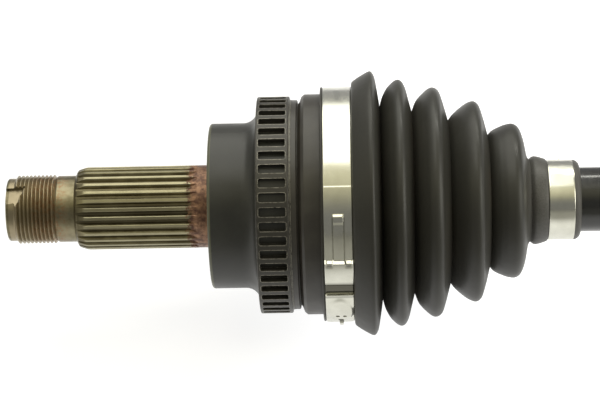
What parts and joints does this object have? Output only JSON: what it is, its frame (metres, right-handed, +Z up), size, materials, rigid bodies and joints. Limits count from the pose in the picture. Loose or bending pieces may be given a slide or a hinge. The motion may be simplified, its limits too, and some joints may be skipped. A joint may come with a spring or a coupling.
{
  "type": "drive shaft",
  "caption": "Car drive shaft: splined wheel stub, ball joint with sensor ring and boot, solid bar, booted tripod joint and gearbox spline.",
  "frame": {"origin": "on the shaft's axis, in the plane of the outer joint's shoulder that bears against the wheel bearing", "axes": "+X along the shaft from the wheel to the gearbox, +Z up"},
  "size_m": [0.6014, 0.1004, 0.1004],
  "materials": {
    "forged_steel": "oily black-brown forging",
    "ring_steel": "satin black coating",
    "boot_rubber": "semi-gloss black rubber",
    "clamp_steel": "brushed stainless band",
    "bar_paint": "gloss black paint",
    "housing_steel": "satin black forging",
    "hardened_steel": "ground hardened steel",
    "bearing_steel": "polished bearing steel",
    "spring_steel": "plain spring steel"
  },
  "bodies": {
    "wheel_side": {"outer_joint_housing": "forged_steel", "sensor_ring": "ring_steel", "outer_boot": "boot_rubber", "outer_clamp_large": "clamp_steel"},
    "cage": {"ball_cage": "hardened_steel"},
    "ball_body_1": {"ball_1": "bearing_steel"},
    "ball_body_2": {"ball_2": "bearing_steel"},
    "ball_body_3": {"ball_3": "bearing_steel"},
    "ball_body_4": {"ball_4": "bearing_steel"},
    "ball_body_5": {"ball_5": "bearing_steel"},
    "ball_body_6": {"ball_6": "bearing_steel"},
    "bar": {"axle_bar": "bar_paint", "inner_race": "hardened_steel", "race_ring": "spring_steel", "spider_stop_ring": "spring_steel", "spider_end_ring": "spring_steel", "outer_clamp_small": "clamp_steel", "inner_clamp_small": "clamp_steel", "tripod_spider": "hardened_steel", "needle_set_2": "bearing_steel", "needle_set_3": "bearing_steel", "roller_washer_1": "spring_steel", "roller_washer_2": "spring_steel", "roller_washer_3": "spring_steel", "roller_circlip_1": "spring_steel", "roller_circlip_2": "spring_steel", "roller_circlip_3": "spring_steel"},
    "tripod_centre": {"needle_set_1": "bearing_steel", "inner_boot": "boot_rubber"},
    "roller_body_1": {"roller_1": "bearing_steel"},
    "roller_body_2": {"roller_2": "bearing_steel"},
    "roller_body_3": {"roller_3": "bearing_steel"},
    "gearbox_side": {"tripod_housing": "housing_steel", "inner_clamp_large": "clamp_steel", "gearbox_ring": "spring_steel"}
  },
  "joints": [
    {"name": "outer_bend", "type": "hinge", "parent": "wheel_side", "child": "bar", "pos_m": [0.035, 0, 0], "axis": [0, 0, 1], "range_deg": [-42, 42], "deforming": ["outer_boot"]},
    {"name": "cage_bend", "type": "hinge", "parent": "wheel_side", "child": "cage", "pos_m": [0.035, 0, 0], "axis": [0, 0, 1], "range_deg": [-22, 22]},
    {"name": "ball_roll_1", "type": "hinge", "parent": "wheel_side", "child": "ball_body_1", "pos_m": [0.039, 0, 0], "axis": [0, 0, 1], "range_deg": [-24, 24]},
    {"name": "ball_roll_2", "type": "hinge", "parent": "wheel_side", "child": "ball_body_2", "pos_m": [0.039, 0, 0], "axis": [0, -0.866, 0.5], "range_deg": [-13, 13]},
    {"name": "ball_roll_3", "type": "hinge", "parent": "wheel_side", "child": "ball_body_3", "pos_m": [0.039, 0, 0], "axis": [0, -0.866, -0.5], "range_deg": [-13, 13]},
    {"name": "ball_roll_4", "type": "hinge", "parent": "wheel_side", "child": "ball_body_4", "pos_m": [0.039, 0, 0], "axis": [0, 0, -1], "range_deg": [-24, 24]},
    {"name": "ball_roll_5", "type": "hinge", "parent": "wheel_side", "child": "ball_body_5", "pos_m": [0.039, 0, 0], "axis": [0, 0.866, -0.5], "range_deg": [-13, 13]},
    {"name": "ball_roll_6", "type": "hinge", "parent": "wheel_side", "child": "ball_body_6", "pos_m": [0.039, 0, 0], "axis": [0, 0.866, 0.5], "range_deg": [-13, 13]},
    {"name": "inner_bend", "type": "hinge", "parent": "bar", "child": "tripod_centre", "pos_m": [0.405, 0, 0], "axis": [0, 0, 1], "range_deg": [-15, 15], "deforming": ["inner_boot"]},
    {"name": "inner_plunge", "type": "slide", "parent": "tripod_centre", "child": "gearbox_side", "axis": [1, 0, 0], "range_m": [-0.015, 0.015], "deforming": ["inner_boot"]},
    {"name": "roller_spin_1", "type": "hinge", "parent": "tripod_centre", "child": "roller_body_1", "pos_m": [0.405, 0, 0], "axis": [0, 0, 1], "range_deg": [-60, 60]},
    {"name": "roller_spin_2", "type": "hinge", "parent": "bar", "child": "roller_body_2", "pos_m": [0.405, 0, 0], "axis": [0, -0.866, -0.5], "range_deg": [-60, 60]},
    {"name": "roller_spin_3", "type": "hinge", "parent": "bar", "child": "roller_body_3", "pos_m": [0.405, 0, 0], "axis": [0, 0.866, -0.5], "range_deg": [-60, 60]}
  ],
  "couplings": [
    {"joint": "cage_bend", "follows": "outer_bend", "ratio": 0.5},
    {"joint": "ball_roll_1", "follows": "outer_bend", "ratio": 0.5},
    {"joint": "ball_roll_2", "follows": "outer_bend", "ratio": 0.2575},
    {"joint": "ball_roll_3", "follows": "outer_bend", "ratio": -0.2575},
    {"joint": "ball_roll_4", "follows": "outer_bend", "ratio": -0.5},
    {"joint": "ball_roll_5", "follows": "outer_bend", "ratio": -0.2575},
    {"joint": "ball_roll_6", "follows": "outer_bend", "ratio": 0.2575},
    {"joint": "roller_spin_1", "follows": "inner_plunge", "rad_per_m": 64.516},
    {"joint": "roller_spin_2", "follows": "inner_plunge", "rad_per_m": 64.516},
    {"joint": "roller_spin_3", "follows": "inner_plunge", "rad_per_m": 64.516}
  ]
}
